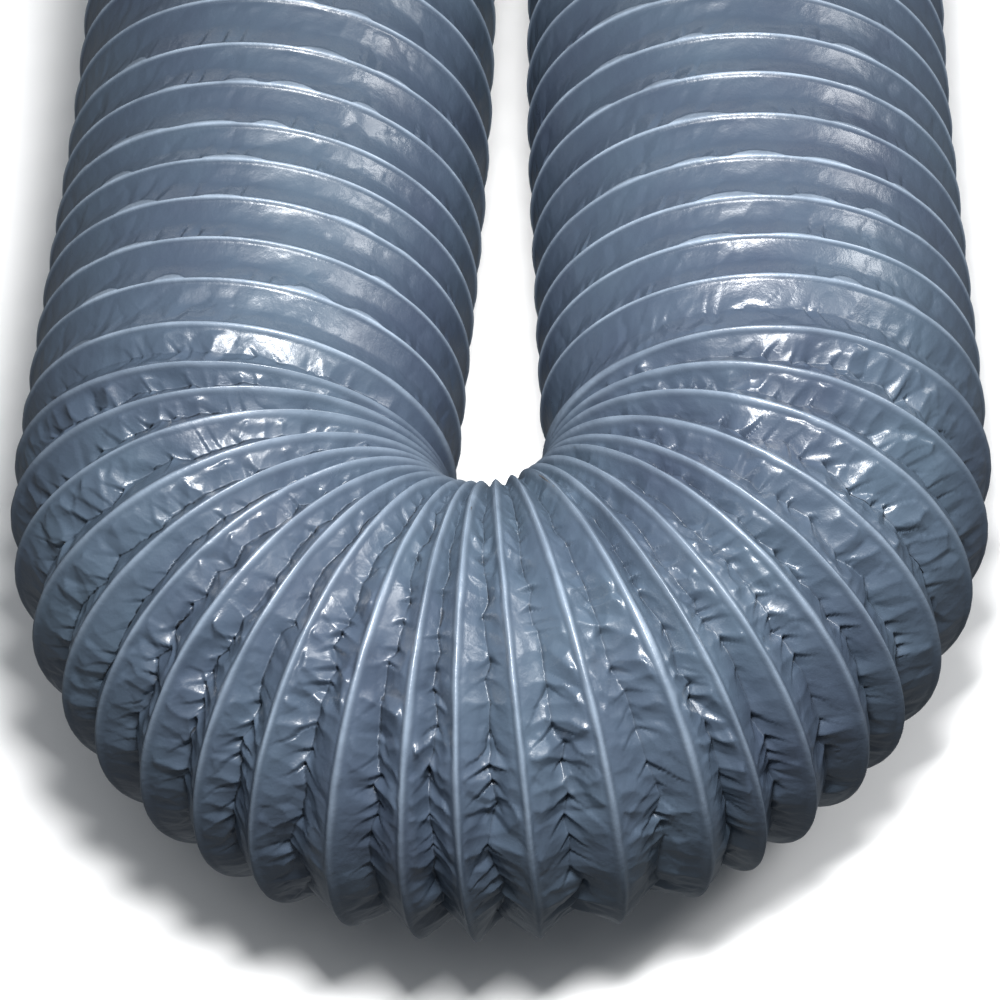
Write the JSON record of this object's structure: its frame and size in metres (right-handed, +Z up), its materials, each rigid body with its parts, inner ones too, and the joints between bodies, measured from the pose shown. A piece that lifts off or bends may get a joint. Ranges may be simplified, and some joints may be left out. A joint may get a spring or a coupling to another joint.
{
  "type": "flexible air duct",
  "caption": "Flexible round air duct lying in a tight U: creased grey cover over a spring wire helix, liner, end cuffs and worm-drive clamps.",
  "frame": {"origin": "on the surface it lies on, under the middle of the duct's box", "axes": "+Y from the bend towards the two open ends, +Z up, +X from the left leg to the right leg"},
  "size_m": [0.4612, 0.7052, 0.217],
  "materials": {
    "cover": "semi-gloss grey-blue coated fabric, creased",
    "liner": "aluminium and polyester laminate, crinkled",
    "spring_wire": "coppered spring steel wire",
    "cuff": "matte coated fabric, hemmed",
    "clamp_steel": "stainless strip, bright",
    "clamp_screw": "zinc plated"
  },
  "bodies": {
    "bend_01": {"bend_01_liner": "liner", "bend_01_wire": "spring_wire", "bend_01_cover": "cover"},
    "bend_02": {"bend_02_liner": "liner", "bend_02_wire": "spring_wire", "bend_02_cover": "cover"},
    "bend_03": {"bend_03_liner": "liner", "bend_03_wire": "spring_wire", "bend_03_cover": "cover"},
    "bend_04": {"bend_04_liner": "liner", "bend_04_wire": "spring_wire", "bend_04_cover": "cover"},
    "bend_05": {"bend_05_liner": "liner", "bend_05_wire": "spring_wire", "bend_05_cover": "cover"},
    "bend_06": {"bend_06_liner": "liner", "bend_06_wire": "spring_wire", "bend_06_cover": "cover"},
    "bend_07": {"bend_07_liner": "liner", "bend_07_wire": "spring_wire", "bend_07_cover": "cover"},
    "bend_08": {"bend_08_liner": "liner", "bend_08_wire": "spring_wire", "bend_08_cover": "cover"},
    "bend_09": {"bend_09_liner": "liner", "bend_09_wire": "spring_wire", "bend_09_cover": "cover"},
    "bend_10": {"bend_10_liner": "liner", "bend_10_wire": "spring_wire", "bend_10_cover": "cover"},
    "bend_11": {"bend_11_liner": "liner", "bend_11_wire": "spring_wire", "bend_11_cover": "cover"},
    "left_leg": {"left_near_liner": "liner", "left_near_wire": "spring_wire", "left_near_cover": "cover", "left_far_liner": "liner", "left_far_wire": "spring_wire", "left_far_cover": "cover"},
    "left_end": {"left_cuff": "cuff", "left_clamp_band": "clamp_steel", "left_clamp_housing": "clamp_steel"},
    "left_screw": {"left_clamp_screw": "clamp_screw"},
    "right_leg": {"right_near_liner": "liner", "right_near_wire": "spring_wire", "right_near_cover": "cover", "right_far_liner": "liner", "right_far_wire": "spring_wire", "right_far_cover": "cover"},
    "right_end": {"right_cuff": "cuff", "right_clamp_band": "clamp_steel", "right_clamp_housing": "clamp_steel"},
    "right_screw": {"right_clamp_screw": "clamp_screw"}
  },
  "joints": [
    {"name": "left_bend", "type": "hinge", "parent": "bend_06", "child": "bend_05", "pos_m": [-0.03398, -0.35007, 0], "axis": [0, 0, 1], "range_deg": [0, 16.95]},
    {"name": "left_bend_2", "type": "hinge", "parent": "bend_05", "child": "bend_04", "pos_m": [-0.099, -0.33025, 0], "axis": [0, 0, 1], "range_deg": [-1, 17.95]},
    {"name": "left_bend_3", "type": "hinge", "parent": "bend_04", "child": "bend_03", "pos_m": [-0.15541, -0.29234, 0], "axis": [0, 0, 1], "range_deg": [-1, 17.95]},
    {"name": "left_bend_4", "type": "hinge", "parent": "bend_03", "child": "bend_02", "pos_m": [-0.19833, -0.23964, 0], "axis": [0, 0, 1], "range_deg": [-1, 17.95]},
    {"name": "left_bend_5", "type": "hinge", "parent": "bend_02", "child": "bend_01", "pos_m": [-0.22401, -0.17671, 0], "axis": [0, 0, 1], "range_deg": [-1, 17.95]},
    {"name": "left_bend_6", "type": "hinge", "parent": "bend_01", "child": "left_leg", "pos_m": [-0.23024, -0.10903, 0], "axis": [0, 0, 1], "range_deg": [-1, 9.47]},
    {"name": "left_length", "type": "slide", "parent": "left_leg", "child": "left_end", "axis": [0, 1, 0], "range_m": [-0.16, 0.075], "deforming": ["left_far_liner", "left_far_wire", "left_far_cover"]},
    {"name": "left_screw_turn", "type": "hinge", "parent": "left_end", "child": "left_screw", "pos_m": [-0.11351, 0.32758, 0.2119], "axis": [-1, 0, 0], "continuous": true},
    {"name": "right_bend", "type": "hinge", "parent": "bend_06", "child": "bend_07", "pos_m": [0.03398, -0.35007, 0], "axis": [0, 0, -1], "range_deg": [0, 16.95]},
    {"name": "right_bend_2", "type": "hinge", "parent": "bend_07", "child": "bend_08", "pos_m": [0.099, -0.33025, 0], "axis": [0, 0, -1], "range_deg": [-1, 17.95]},
    {"name": "right_bend_3", "type": "hinge", "parent": "bend_08", "child": "bend_09", "pos_m": [0.15541, -0.29234, 0], "axis": [0, 0, -1], "range_deg": [-1, 17.95]},
    {"name": "right_bend_4", "type": "hinge", "parent": "bend_09", "child": "bend_10", "pos_m": [0.19833, -0.23964, 0], "axis": [0, 0, -1], "range_deg": [-1, 17.95]},
    {"name": "right_bend_5", "type": "hinge", "parent": "bend_10", "child": "bend_11", "pos_m": [0.22401, -0.17671, 0], "axis": [0, 0, -1], "range_deg": [-1, 17.95]},
    {"name": "right_bend_6", "type": "hinge", "parent": "bend_11", "child": "right_leg", "pos_m": [0.23024, -0.10903, 0], "axis": [0, 0, -1], "range_deg": [-1, 9.47]},
    {"name": "right_length", "type": "slide", "parent": "right_leg", "child": "right_end", "axis": [0, 1, 0], "range_m": [-0.16, 0.075], "deforming": ["right_far_liner", "right_far_wire", "right_far_cover"]},
    {"name": "right_screw_turn", "type": "hinge", "parent": "right_end", "child": "right_screw", "pos_m": [0.11351, 0.32758, 0.2119], "axis": [1, 0, 0], "continuous": true}
  ],
  "couplings": [
    {"joint": "left_bend_2", "follows": "left_bend", "ratio": 1},
    {"joint": "left_bend_3", "follows": "left_bend", "ratio": 1},
    {"joint": "left_bend_4", "follows": "left_bend", "ratio": 1},
    {"joint": "left_bend_5", "follows": "left_bend", "ratio": 1},
    {"joint": "left_bend_6", "follows": "left_bend", "ratio": 0.5},
    {"joint": "right_bend_2", "follows": "right_bend", "ratio": 1},
    {"joint": "right_bend_3", "follows": "right_bend", "ratio": 1},
    {"joint": "right_bend_4", "follows": "right_bend", "ratio": 1},
    {"joint": "right_bend_5", "follows": "right_bend", "ratio": 1},
    {"joint": "right_bend_6", "follows": "right_bend", "ratio": 0.5}
  ]
}
